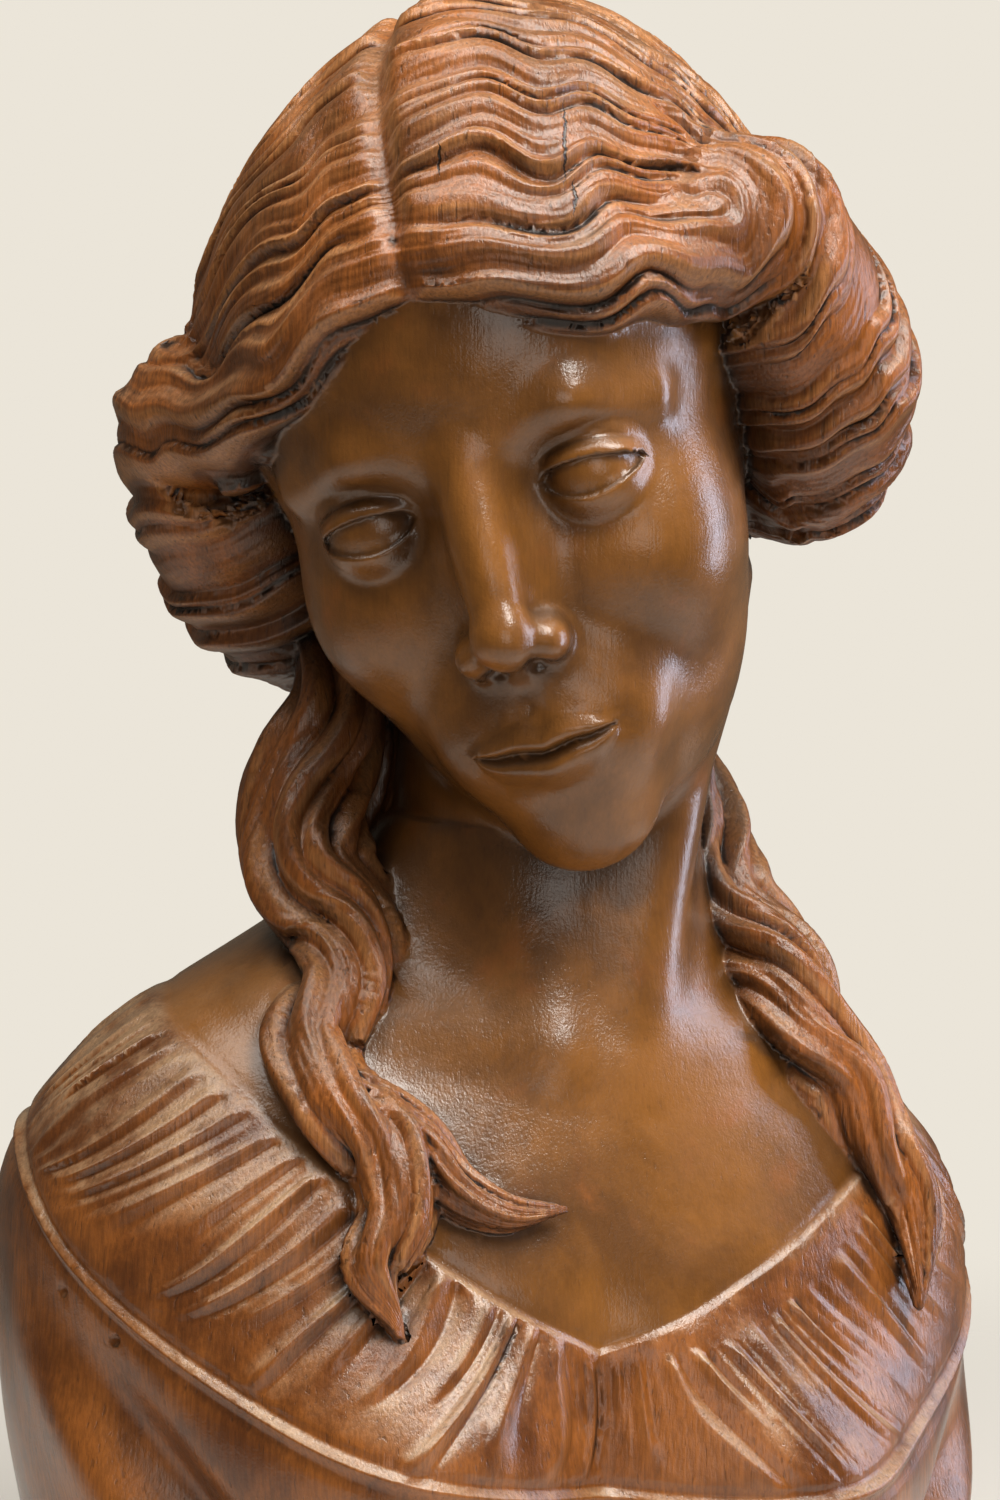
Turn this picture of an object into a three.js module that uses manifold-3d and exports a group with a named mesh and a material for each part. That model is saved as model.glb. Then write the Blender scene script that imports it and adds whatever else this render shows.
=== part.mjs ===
/**
 * Ship figurehead: the carved wooden bust of a woman, one block of timber.
 *
 * She faces -Y. Her head is turned and leant towards her right shoulder (-X) and bowed a little.
 * Her hair is parted in the middle and drawn into a thick roll that hides each ear and runs on
 * round the nape, and a long tress falls from it over each shoulder. She wears a low-necked
 * bodice with a gathered yoke that ends in a piped edge. The bust is cut flat below, where it
 * stands, and flat behind, where it seats against a ship's stem.
 *
 * Millimetres, +Z up. The origin is on the torso's axis, in the plane of the underside.
 */
import * as THREE from "three";
import { mergeVertices } from "three/addons/utils/BufferGeometryUtils.js";
import Module from "manifold-3d";

const wasm = await Module();
wasm.setup();

// ---- Driving dimensions -------------------------------------------------------------------

const HEAD_SCALE = 1.17; // the head's shapes below are written at the size of life
const HEAD_CENTRE = new THREE.Vector3(-7, -28, 453); // midway between chin and crown
const HEAD_TURN = -28; // degrees, towards her right
const HEAD_NOD = 16; // degrees, chin down
const HEAD_LEAN = -15.5; // degrees, crown towards her right

const SHOULDER_TILT = 0.115; // rise of her right shoulder for each millimetre sideways
const TILT_FULL_HEIGHT = 120; // the tilt grows from nothing at the flat base to this height
const SQUARENESS = 2.3; // exponent of the torso's oval sections
const BACK_SEAT_Y = 98; // plane of the flat back
const BACK_SEAT_TOP = 215;

// Torso sections: height, half width, depth in front of the axis, depth behind it.
const TORSO_SECTIONS = [
  [0, 146, 104, 92],
  [60, 157, 113, 100],
  [110, 166, 113, 106],
  [150, 170, 109, 108],
  [180, 170, 103, 104],
  [200, 166, 94, 98],
  [217, 157, 86, 92],
  [240, 137, 73, 84],
  [255, 117, 62, 76],
  [273, 91, 50, 64],
  [290, 68, 38, 50],
  [305, 44, 26, 36],
];

// Swellings of the torso: angle from the front, height, how far out, spread in angle and height.
const TORSO_SWELLS = [
  { angle: 29, height: 112, out: 22, angleSpread: 19, heightSpread: 36 }, // breasts
  { angle: 62, height: 30, out: -13, angleSpread: 8, heightSpread: 62 }, // creases beside the arms
];

const NECKLINE = { front: 165, rise: 88, angleShare: 0.9, highAngle: 100 };
const PIPING = { front: 109, rise: 96, highAngle: 93, power: 2.6, radius: 3.4 };
const PLEAT = { count: 26, reach: 97, fan: 22, radius: 6, sink: 3.4 };

const NECK = { base: [3, -10, 215], radii: [62, 55, 53, 56], topInHead: [0, 14, -40] };

const HAIR_DEPTH = 14; // thickness of the hair over the skull, life size
const WAVE_DEPTH = 1.8;
const WAVE_COUNT = 15;
const FACE_CROWDING = 1.35; // over 1 puts more of the head's rings on the face

// ---- Small mathematics --------------------------------------------------------------------

const radians = THREE.MathUtils.degToRad;
const { smoothstep, clamp } = THREE.MathUtils;

function smoothMin(a, b, reach) {
  const overlap = Math.max(reach - Math.abs(a - b), 0) / reach;
  return Math.min(a, b) - overlap * overlap * reach * 0.25;
}

function smoothMax(a, b, reach) {
  return -smoothMin(-a, -b, reach);
}

/** Signed distance to an ellipsoid, close to true near its surface. */
function ellipsoid(p, [cx, cy, cz], [rx, ry, rz]) {
  const x = p.x - cx;
  const y = p.y - cy;
  const z = p.z - cz;
  const near = Math.hypot(x / rx, y / ry, z / rz);
  const slope = Math.hypot(x / rx ** 2, y / ry ** 2, z / rz ** 2);
  return slope > 0 ? (near * (near - 1)) / slope : -Math.min(rx, ry, rz);
}

/** Signed distance to a round-ended bar that tapers from radius ra at a to rb at b. */
function taperedBar(p, a, b, ra, rb) {
  const start = new THREE.Vector3(...a);
  const along = new THREE.Vector3(...b).sub(start);
  const share = clamp(p.clone().sub(start).dot(along) / along.lengthSq(), 0, 1);
  return p.distanceTo(start.addScaledVector(along, share)) - (ra + (rb - ra) * share);
}

/** Catmull-Rom interpolation of table rows [key, value, value, ...]. */
function interpolate(rows, key) {
  const last = rows.length - 2;
  const i = clamp(rows.findIndex((row) => row[0] > key) - 1, 0, last);
  const k = key >= rows[last + 1][0] ? last : i;
  const [before, from, to, after] = [k - 1, k, k + 1, k + 2].map(
    (n) => rows[clamp(n, 0, last + 1)],
  );
  const t = clamp((key - from[0]) / (to[0] - from[0]), 0, 1);
  return from.slice(1).map((value, n) => {
    const span = to[0] - from[0];
    const slopeFrom = ((to[n + 1] - before[n + 1]) / (to[0] - before[0])) * span;
    const slopeTo = ((after[n + 1] - value) / (after[0] - from[0])) * span;
    return (
      value * (2 * t ** 3 - 3 * t ** 2 + 1) +
      slopeFrom * (t ** 3 - 2 * t ** 2 + t) +
      to[n + 1] * (3 * t ** 2 - 2 * t ** 3) +
      slopeTo * (t ** 3 - t ** 2)
    );
  });
}

// ---- Solids -------------------------------------------------------------------------------

/** A manifold-3d solid from a three.js geometry. */
function solidFrom(geometry) {
  const bare = new THREE.BufferGeometry();
  bare.setAttribute("position", geometry.getAttribute("position").clone());
  bare.setIndex(geometry.index);
  const merged = mergeVertices(bare, 1e-3);
  const corners = [];
  for (let i = 0; i < merged.index.count; i += 3) {
    const [a, b, c] = [0, 1, 2].map((n) => merged.index.getX(i + n));
    if (a !== b && b !== c && c !== a) corners.push(a, b, c);
  }
  return new wasm.Manifold(
    new wasm.Mesh({
      numProp: 3,
      vertProperties: merged.attributes.position.array,
      triVerts: new Uint32Array(corners),
    }),
  );
}

/** A closed skin through rings of points, each ring having the same number of points. */
function skin(rings) {
  const sides = rings[0].length;
  const middle = (ring) =>
    ring.reduce((sum, p) => sum.add(p), new THREE.Vector3()).divideScalar(sides);
  const points = [...rings.flat(), middle(rings[0]), middle(rings.at(-1))];
  const foot = points.length - 2;
  const top = points.length - 1;
  const faces = [];
  for (let side = 0; side < sides; side += 1) {
    const next = (side + 1) % sides;
    for (let ring = 0; ring < rings.length - 1; ring += 1) {
      const a = ring * sides + side;
      const b = ring * sides + next;
      faces.push(a, b, b + sides, a, b + sides, a + sides);
    }
    const end = (rings.length - 1) * sides;
    faces.push(foot, next, side, top, end + side, end + next);
  }
  return new THREE.BufferGeometry().setFromPoints(points).setIndex(faces);
}

/** A limb along a route of [x, y, z, radius], flattened across and fluted along its length. */
function limb(route, { steps, sides, flutes = 0, depth = 0, twist = 0, flat = 1, closed = false }) {
  const curve = new THREE.CatmullRomCurve3(
    route.map(([x, y, z]) => new THREE.Vector3(x, y, z)),
    closed,
    "centripetal",
  );
  const frames = curve.computeFrenetFrames(steps, closed);
  const radii = route.map(([, , , radius], n) => [n / (route.length - 1), radius]);
  const rings = [];
  for (let step = 0; step <= steps; step += 1) {
    const share = step / steps;
    const centre = curve.getPointAt(share);
    const [radius] = interpolate(radii, curve.getUtoTmapping(share));
    const ring = [];
    for (let side = 0; side < sides; side += 1) {
      const angle = (side / sides) * 2 * Math.PI;
      const flute = 1 + depth * Math.cos(flutes * angle + twist * share);
      ring.push(
        centre
          .clone()
          .addScaledVector(frames.normals[step], radius * flute * Math.cos(angle))
          .addScaledVector(frames.binormals[step], radius * flute * flat * Math.sin(angle)),
      );
    }
    rings.push(ring);
  }
  return solidFrom(skin(rings));
}

// ---- Torso --------------------------------------------------------------------------------

/** Distance of the torso's skin from its axis, at an angle from the front and a height. */
function torsoRadius(angle, height) {
  const [width, front, back] = interpolate(TORSO_SECTIONS, height);
  const depth = Math.cos(angle) > 0 ? front : back;
  const oval =
    (Math.abs(Math.sin(angle) / width) ** SQUARENESS +
      Math.abs(Math.cos(angle) / depth) ** SQUARENESS) **
    (-1 / SQUARENESS);
  return TORSO_SWELLS.reduce((radius, swell) => {
    const aside = (Math.abs(angle) - radians(swell.angle)) / radians(swell.angleSpread);
    const above = (height - swell.height) / swell.heightSpread;
    return radius + swell.out * Math.exp(-(aside ** 2) - above ** 2);
  }, oval);
}

/** A point on the torso, a little above its skin if lift says so. Angles run from the front to her left. */
function onTorso(angle, height, lift = 0) {
  const radius = torsoRadius(angle, height) + lift;
  const x = radius * Math.sin(angle);
  const tilt = SHOULDER_TILT * smoothstep(height, 0, TILT_FULL_HEIGHT);
  return new THREE.Vector3(x, -radius * Math.cos(angle), height - tilt * x);
}

function torso(rings = 19, sides = 36) {
  const top = TORSO_SECTIONS.at(-1)[0];
  const levels = Array.from({ length: rings }, (_, n) => {
    const share = n / (rings - 1);
    return top * (1 - (1 - share) ** 1.5); // closer together over the shoulders
  });
  return solidFrom(
    skin(
      levels.map((height) =>
        Array.from({ length: sides }, (_, side) => {
          const angle = (side / sides) * 2 * Math.PI - Math.PI;
          return onTorso(angle, height);
        }),
      ),
    ),
  );
}

// ---- Bodice -------------------------------------------------------------------------------

function necklineHeight(angle) {
  const share = Math.min(Math.abs(angle), radians(NECKLINE.highAngle)) * NECKLINE.angleShare;
  return NECKLINE.front + NECKLINE.rise * Math.sin(share) ** 2;
}

function pipingHeight(angle) {
  const share = Math.min(Math.abs(angle) / radians(PIPING.highAngle), 1);
  return PIPING.front + PIPING.rise * share ** PIPING.power;
}

/** A thin closed cord round the torso at a height that follows the angle. */
function edging(heightAt, radius, steps, sides) {
  const route = Array.from({ length: 48 }, (_, n) => {
    const angle = (n / 48) * 2 * Math.PI - Math.PI;
    const point = onTorso(angle, heightAt(angle));
    return [point.x, point.y, point.z];
  });
  const curve = new THREE.CatmullRomCurve3(
    route.map((p) => new THREE.Vector3(...p)),
    true,
    "centripetal",
  );
  const frames = curve.computeFrenetFrames(steps, true);
  const faces = [];
  const points = [];
  for (let step = 0; step < steps; step += 1) {
    for (let side = 0; side < sides; side += 1) {
      const turn = (side / sides) * 2 * Math.PI;
      points.push(
        curve
          .getPointAt(step / steps)
          .addScaledVector(frames.normals[step], radius * Math.cos(turn))
          .addScaledVector(frames.binormals[step], radius * Math.sin(turn)),
      );
      const here = step * sides;
      const ahead = ((step + 1) % steps) * sides;
      const next = (side + 1) % sides;
      faces.push(here + side, here + next, ahead + next, here + side, ahead + next, ahead + side);
    }
  }
  return solidFrom(new THREE.BufferGeometry().setFromPoints(points).setIndex(faces));
}

/** One gathered fold of the yoke, from the neckline down to the piping. */
function pleat(angle) {
  const stops = [0.1, 0.3, 0.55, 0.8, 0.97];
  const route = stops.map((share) => {
    const fan = PLEAT.fan * share * Math.sin(Math.abs(angle) * 1.8) * Math.sign(angle);
    const here = angle + radians(fan);
    const height = THREE.MathUtils.lerp(necklineHeight(angle), pipingHeight(here), share);
    const point = onTorso(here, height, -PLEAT.sink);
    const swell = 0.45 + 0.55 * Math.sin(Math.PI * Math.min(share * 1.15, 1));
    return [point.x, point.y, point.z, PLEAT.radius * swell];
  });
  return limb(route, { steps: 4, sides: 5 });
}

// ---- Head ---------------------------------------------------------------------------------

const headTurn = new THREE.Matrix4()
  .makeRotationZ(radians(HEAD_TURN))
  .multiply(new THREE.Matrix4().makeRotationX(radians(HEAD_NOD)))
  .multiply(new THREE.Matrix4().makeRotationY(radians(HEAD_LEAN)));

/** A point of the head, written at the size of life about its centre, in the bust's frame. */
function fromHead(x, y, z) {
  return new THREE.Vector3(x, y, z).multiplyScalar(HEAD_SCALE).applyMatrix4(headTurn).add(HEAD_CENTRE);
}

/** Skull, face and features as one blended form, life size. */
function faceField(p) {
  const side = new THREE.Vector3(Math.abs(p.x), p.y, p.z);
  let d = ellipsoid(p, [0, 10, 28], [73, 92, 84]);
  d = smoothMin(d, ellipsoid(p, [0, -22, 34], [60, 63, 54]), 16);
  d = smoothMin(d, ellipsoid(p, [0, -22, -22], [60, 63, 66]), 16);
  d = smoothMin(d, ellipsoid(p, [0, -30, -60], [47, 54, 49]), 20);
  d = smoothMin(d, ellipsoid(p, [0, -70, -93], [20, 17, 17]), 14);
  d = smoothMax(d, -ellipsoid(side, [33, -95, 3], [21, 21, 15]), 10);
  d = smoothMin(d, ellipsoid(side, [31, -71, 0], [14.5, 14.5, 12.5]), 2);
  d = smoothMin(d, taperedBar(p, [0, -84, 14], [0, -105, -32], 6, 9), 9);
  d = smoothMin(d, ellipsoid(side, [11, -97, -37], [7.5, 8, 6.5]), 5);
  d = smoothMin(d, ellipsoid(p, [0, -80, -63], [26, 15, 17]), 12);
  d = smoothMin(d, ellipsoid(p, [0, -92, -61], [20, 7, 4.5]), 3);
  d = smoothMin(d, ellipsoid(p, [0, -91, -71], [16, 7, 5.5]), 3);
  return d;
}

/** The hair that caps the head behind a hairline plane, combed in waves away from the parting. */
function capField(p) {
  const shell = ellipsoid(p, [0, 10, 28], [73 + HAIR_DEPTH, 92 + HAIR_DEPTH, 84 + HAIR_DEPTH]);
  const around = Math.atan2(p.z - 10, -(p.y - 10));
  const aside = Math.atan2(Math.abs(p.x), Math.hypot(p.y - 10, p.z - 10));
  const wave = Math.sin(WAVE_COUNT * (around + 0.05 * Math.sin(9 * aside)));
  const parting = 5 * Math.exp(-((p.x / 6) ** 2));
  const hairline = -(p.y + p.z + 24) * Math.SQRT1_2;
  const below = -(p.z + 62);
  return smoothMax(smoothMax(shell + parting - WAVE_DEPTH * wave, hairline, 6), below, 20);
}

/** How far out from the head's centre a field turns from solid to air. */
function reachAlong(direction, origin, field) {
  let outside = 150;
  const step = 3;
  const at = (reach) => field(origin.clone().addScaledVector(direction, reach));
  while (outside > step && at(outside - step) > 0) outside -= step;
  let inside = outside - step;
  for (let halving = 0; halving < 12; halving += 1) {
    const middle = (inside + outside) / 2;
    if (at(middle) > 0) outside = middle;
    else inside = middle;
  }
  return outside;
}

/** Turns a direction towards the front of the face, so that evenly spaced rings crowd there. */
function crowdTowardsFace(direction) {
  const away = Math.acos(clamp(-direction.y, -1, 1));
  const crowded = Math.PI * (away / Math.PI) ** FACE_CROWDING;
  const ring = Math.hypot(direction.x, direction.z);
  const spread = ring > 0 ? Math.sin(crowded) / ring : 0;
  direction.set(direction.x * spread, -Math.cos(crowded), direction.z * spread);
}

/** The head and its cap of hair. The sphere's pole is at the face, where its rings are closest. */
function head(sides = 40, rings = 31) {
  const origin = new THREE.Vector3(0, 0, -6);
  const field = (p) => Math.min(faceField(p), capField(p));
  const sphere = new THREE.SphereGeometry(1, sides, rings).rotateX(Math.PI / 2);
  const position = sphere.getAttribute("position");
  const direction = new THREE.Vector3();
  for (let i = 0; i < position.count; i += 1) {
    direction.fromBufferAttribute(position, i).normalize();
    crowdTowardsFace(direction);
    const reach = reachAlong(direction, origin, field);
    const point = origin.clone().addScaledVector(direction, reach);
    position.setXYZ(i, ...fromHead(point.x, point.y, point.z));
  }
  return solidFrom(sphere);
}

/** The long roll of hair: over one ear, round the nape and over the other ear. */
function hairRoll() {
  const half = [
    [4, -80, 66, 4],
    [28, -77, 64, 7],
    [50, -60, 57, 11],
    [67, -38, 51, 17],
    [80, -16, 38, 26],
    [87, -3, 12, 30],
    [87, 8, -12, 30],
    [79, 20, -32, 25],
    [64, 46, -42, 22],
    [34, 78, -42, 21],
  ];
  const across = [
    ...half,
    [0, 91, -40, 21],
    ...half.toReversed().map(([x, y, z, radius]) => [-x, y, z, radius]),
  ];
  const route = across.map(([x, y, z, radius]) => [...fromHead(x, y, z), radius * HEAD_SCALE]);
  return limb(route, { steps: 50, sides: 10 });
}

function neck() {
  const top = fromHead(...NECK.topInHead);
  const base = new THREE.Vector3(...NECK.base);
  const route = NECK.radii.map((radius, n) => [
    ...base.clone().lerp(top, n / (NECK.radii.length - 1)),
    radius,
  ]);
  return limb(route, { steps: 7, sides: 18 });
}

// ---- Loose hair: x, y, z and radius at each bend ---------------------------------------------

const HAIR_BEHIND_NECK = [
  [14, 26, 404, 60],
  [8, 32, 355, 60],
  [3, 38, 305, 63],
  [1, 50, 264, 54],
  [0, 66, 236, 26],
];

const TRESS_HER_RIGHT = [
  [-54, 16, 386, 14],
  [-61, 4, 358, 18],
  [-74, -4, 330, 20],
  [-77, -17, 305, 21],
  [-69, -32, 286, 19],
  [-74, -46, 268, 17],
  [-89, -56, 251, 16],
  [-86, -72, 236, 15],
  [-72, -86, 219, 14],
  [-73, -96, 201, 12],
  [-83, -101, 186, 9],
  [-77, -108, 168, 2.5],
];

const CURL_HER_RIGHT = [
  [-77, -76, 238, 8],
  [-63, -86, 225, 9],
  [-53, -93, 210, 8.5],
  [-38, -99, 202, 6.5],
  [-20, -101, 202, 2],
];

const TRESS_HER_LEFT = [
  [60, 24, 372, 13],
  [62, 12, 342, 17],
  [66, 0, 310, 19],
  [73, -16, 286, 18],
  [80, -36, 266, 16],
  [89, -50, 246, 14],
  [98, -59, 229, 13],
  [109, -64, 212, 12],
  [116, -75, 192, 10],
  [114, -90, 165, 2.5],
];

function tress(route, steps) {
  return limb(route, { steps, sides: 12, flutes: 4, depth: 0.09, twist: 5 });
}

// ---- The bust -----------------------------------------------------------------------------

/** A box that takes away everything behind the plane of the back seat. */
function backSeatCutter() {
  const size = 400;
  const box = new THREE.BoxGeometry(size, size, BACK_SEAT_TOP + size);
  box.translate(0, BACK_SEAT_Y + size / 2, BACK_SEAT_TOP - (BACK_SEAT_TOP + size) / 2);
  return solidFrom(box);
}

function bust() {
  const gathers = Array.from({ length: PLEAT.count }, (_, n) => {
    const share = (n + 0.5) / PLEAT.count;
    return pleat(radians(PLEAT.reach * (2 * share - 1)));
  });
  const pieces = [
    neck(),
    head(),
    hairRoll(),
    limb(HAIR_BEHIND_NECK, { steps: 7, sides: 16 }),
    tress(TRESS_HER_RIGHT, 24),
    tress(CURL_HER_RIGHT, 10),
    tress(TRESS_HER_LEFT, 20),
    edging(pipingHeight, PIPING.radius, 56, 5),
    ...gathers,
  ];
  const joined = pieces.reduce((whole, piece) => whole.add(piece), torso());
  return joined.subtract(backSeatCutter());
}

function meshFrom(solid, name, material) {
  const { vertProperties, triVerts, numProp } = solid.getMesh();
  const geometry = new THREE.BufferGeometry();
  const position = new THREE.InterleavedBuffer(vertProperties, numProp);
  geometry.setAttribute("position", new THREE.InterleavedBufferAttribute(position, 3, 0));
  geometry.setIndex(new THREE.BufferAttribute(triVerts, 1));
  const flat = geometry.toNonIndexed();
  flat.computeVertexNormals();
  const mesh = new THREE.Mesh(flat, material);
  mesh.name = name;
  return mesh;
}

const stainedWood = new THREE.MeshStandardMaterial({
  name: "stained_wood",
  color: new THREE.Color(0.36, 0.19, 0.09),
  roughness: 0.38,
  metalness: 0,
});

const figurehead = new THREE.Group();
figurehead.add(meshFrom(bust(), "figurehead_bust", stainedWood));

export default figurehead;
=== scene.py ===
"""Ship figurehead: a carved, stained and varnished wooden bust of a woman.

The bust is one piece of wood, so it is one mesh. It is carved as a solid field: skin, bodice and
hair are blended from simple forms, the field is meshed, and the relief of the locks, the gathers
and the piping is then cut into the mesh. Shapes are written in millimetres in the bust's own frame
(+X is her left, +Z is up), and shapes of the head at the size of life about its centre, where she
faces -Y. The CAD frame's height sets how large a millimetre is.
"""

import math
from concurrent.futures import ThreadPoolExecutor

import bpy
import numpy as np
import openvdb
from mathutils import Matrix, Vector


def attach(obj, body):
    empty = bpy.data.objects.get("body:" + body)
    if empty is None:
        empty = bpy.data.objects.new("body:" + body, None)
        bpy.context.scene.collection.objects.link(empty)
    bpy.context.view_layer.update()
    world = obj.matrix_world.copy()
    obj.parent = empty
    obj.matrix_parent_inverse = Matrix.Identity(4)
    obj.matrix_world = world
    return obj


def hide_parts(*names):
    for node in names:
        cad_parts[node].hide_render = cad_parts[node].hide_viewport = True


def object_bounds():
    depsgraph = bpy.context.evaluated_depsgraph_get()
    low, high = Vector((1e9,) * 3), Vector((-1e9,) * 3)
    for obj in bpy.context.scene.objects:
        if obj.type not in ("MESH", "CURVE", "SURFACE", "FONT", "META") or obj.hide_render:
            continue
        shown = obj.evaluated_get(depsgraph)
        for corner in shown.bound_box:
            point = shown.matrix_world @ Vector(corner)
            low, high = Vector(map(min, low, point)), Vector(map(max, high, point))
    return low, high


bl_info = {
    "name": "Ship Figurehead",
    "version": (1, 0, 0),
    "blender": (4, 5, 0),
    "location": "View3D > Sidebar > Figurehead",
    "description": "Carves a stained and varnished wooden figurehead bust and sets its stage",
    "category": "Add Mesh",
}

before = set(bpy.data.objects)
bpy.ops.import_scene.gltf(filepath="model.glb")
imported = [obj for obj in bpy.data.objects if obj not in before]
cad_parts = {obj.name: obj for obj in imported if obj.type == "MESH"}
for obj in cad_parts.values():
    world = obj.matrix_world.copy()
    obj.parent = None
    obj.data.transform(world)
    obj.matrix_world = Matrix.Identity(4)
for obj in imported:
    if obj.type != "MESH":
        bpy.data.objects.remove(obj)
CAD_BOX = [list(corner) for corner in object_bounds()]
CAD_NODE = "figurehead_bust"
DESIGN_HEIGHT = 601.8
MM = (CAD_BOX[1][2] - CAD_BOX[0][2]) / DESIGN_HEIGHT

# ---- Small mathematics ----------------------------------------------------------------------

FAR = 60.0  # a distance that stands for out of reach


def smooth_min(a, b, reach):
    """The lower of two fields, blended where they differ by less than reach."""
    overlap = np.maximum(reach - np.abs(a - b), 0) / reach
    return np.minimum(a, b) - overlap * overlap * reach * 0.25


def smooth_max(a, b, reach):
    return -smooth_min(-a, -b, reach)


def smoothstep(low, high, value):
    share = np.clip((value - low) / (high - low), 0, 1)
    return share * share * (3 - 2 * share)


def bump(value, centre, spread):
    """A smooth hill of height 1."""
    return np.exp(-(((value - centre) / spread) ** 2))


def ridge(phase, sharpness=2.4, groove=0.14):
    """Rounded ridges with narrow grooves at whole numbers: 0 in a groove, 1 on a ridge."""
    clear = 1 - np.abs(2 * (phase - np.floor(phase)) - 1)
    clear = (np.sqrt(clear**2 + groove**2) - groove) / (math.hypot(1, groove) - groove)
    return 1 - (1 - clear) ** sharpness


def chance(whole, seed):
    """A repeatable number from 0 to 1 for each whole number."""
    value = np.sin(whole * 12.9898 + seed * 78.233) * 43758.5453
    return value - np.floor(value)


def ripple(points, scale, seed):
    """Slow noise from -1 to 1, with features about as large as scale."""
    turns = np.random.default_rng(seed)
    total = np.zeros(len(points))
    for _ in range(5):
        direction = turns.normal(size=3)
        direction *= 2.4 / np.linalg.norm(direction) / scale * turns.uniform(0.7, 1.4)
        total += np.sin(points @ direction + turns.uniform(0, 2 * math.pi))
    return total / 3


def ellipsoid(points, centre, radii):
    """Signed distance to an ellipsoid, close to true near its surface."""
    offset = points - np.array(centre)
    near = np.linalg.norm(offset / np.array(radii), axis=1)
    slope = np.linalg.norm(offset / np.array(radii) ** 2, axis=1)
    return near * (near - 1) / np.maximum(slope, 1e-6)


def bar(points, start, end, start_radius, end_radius):
    """Signed distance to a round-ended bar that tapers from start to end."""
    start = np.array(start, float)
    along = np.array(end, float) - start
    share = np.clip((points - start) @ along / (along @ along), 0, 1)
    away = np.linalg.norm(points - start - share[:, None] * along, axis=1)
    return away - (start_radius + (end_radius - start_radius) * share)


def smooth_curve(keys, values, at):
    """Smooth interpolation of rows of values, with slopes taken from the neighbours."""
    slopes = np.gradient(values, keys, axis=0)
    i = np.clip(np.searchsorted(keys, at, side="right") - 1, 0, len(keys) - 2)
    span = keys[i + 1] - keys[i]
    t = ((at - keys[i]) / span)[:, None]
    span = span[:, None]
    return (
        values[i] * (2 * t**3 - 3 * t**2 + 1)
        + slopes[i] * span * (t**3 - 2 * t**2 + t)
        + values[i + 1] * (3 * t**2 - 2 * t**3)
        + slopes[i + 1] * span * (t**3 - t**2)
    )


def mirrored(points):
    """The points with both sides of the face brought to her left."""
    return np.column_stack([np.abs(points[:, 0]), points[:, 1], points[:, 2]])


# ---- Limbs: tubes along a route -------------------------------------------------------------


class Limb:
    """A tube along a route of x, y, z and radius, with places along and round it."""

    STEP = 2.0

    def __init__(self, route, outward=(0, -1, 0)):
        route = np.array(route, float)
        chords = np.linalg.norm(np.diff(route[:, :3], axis=0), axis=1)
        keys = np.concatenate([[0], np.cumsum(np.sqrt(chords))])
        dense = smooth_curve(keys, route, np.linspace(0, keys[-1], 400))
        walked = np.linalg.norm(np.diff(dense[:, :3], axis=0), axis=1)
        lengths = np.concatenate([[0], np.cumsum(walked)])
        self.lengths = np.linspace(0, lengths[-1], int(lengths[-1] / self.STEP) + 2)
        places = [np.interp(self.lengths, lengths, dense[:, n]) for n in range(4)]
        self.centres = np.column_stack(places[:3])
        self.radii = np.maximum(places[3], 0.5)
        self.taper = np.gradient(self.radii, self.lengths)
        tangents = np.gradient(self.centres, self.lengths, axis=0)
        self.tangents = tangents / np.linalg.norm(tangents, axis=1)[:, None]
        self.normals = self._carried(np.array(outward, float))
        self.binormals = np.cross(self.tangents, self.normals)
        self.squares = (self.centres**2).sum(axis=1)
        self.low = (self.centres - self.radii[:, None]).min(axis=0)
        self.high = (self.centres + self.radii[:, None]).max(axis=0)

    def _carried(self, normal):
        """The outward direction carried along the route without twisting."""
        normals = []
        for tangent in self.tangents:
            normal = normal - tangent * (normal @ tangent)
            normal = normal / np.linalg.norm(normal)
            normals.append(normal)
        return np.array(normals)

    def place(self, points):
        """For each point: length along the route, angle round it, distance from its axis, radius."""
        gaps = self.squares - 2 * points @ self.centres.T
        nearest = np.argmin(gaps, axis=1)
        offset = points - self.centres[nearest]
        tangent = self.tangents[nearest]
        ahead = np.clip((offset * tangent).sum(axis=1), -self.STEP, self.STEP)
        offset -= ahead[:, None] * tangent
        across = (offset * self.normals[nearest]).sum(axis=1)
        aside = (offset * self.binormals[nearest]).sum(axis=1)
        radius = self.radii[nearest] + ahead * self.taper[nearest]
        return (
            self.lengths[nearest] + ahead,
            np.arctan2(aside, across),
            np.linalg.norm(offset, axis=1),
            radius,
        )


def where_near(points, low, high, margin, measure):
    """Distances by measure where the points are near a box, and FAR elsewhere."""
    near = np.all((points > low - margin) & (points < high + margin), axis=1)
    result = np.full(len(points), FAR)
    if near.any():
        result[near] = measure(points[near])
    return result


# ---- Torso and bodice -----------------------------------------------------------------------

SHOULDER_TILT = 0.115
TORSO_LEAN = 7.0  # how far the lower torso stands towards her right
TILT_FULL_HEIGHT = 120.0
SQUARENESS = 2.3

# Height, half width, depth in front of the axis, depth behind it.
TORSO_SECTIONS = np.array(
    [
        [-20, 142, 101, 89],
        [0, 146, 104, 92],
        [60, 157, 113, 100],
        [110, 168, 113, 106],
        [150, 170, 109, 108],
        [180, 169, 103, 104],
        [200, 165, 94, 98],
        [217, 157, 86, 92],
        [240, 137, 73, 84],
        [255, 117, 62, 76],
        [273, 91, 50, 64],
        [290, 68, 38, 50],
        [305, 44, 26, 36],
        [320, 20, 12, 18],
    ],
    float,
)

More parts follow.
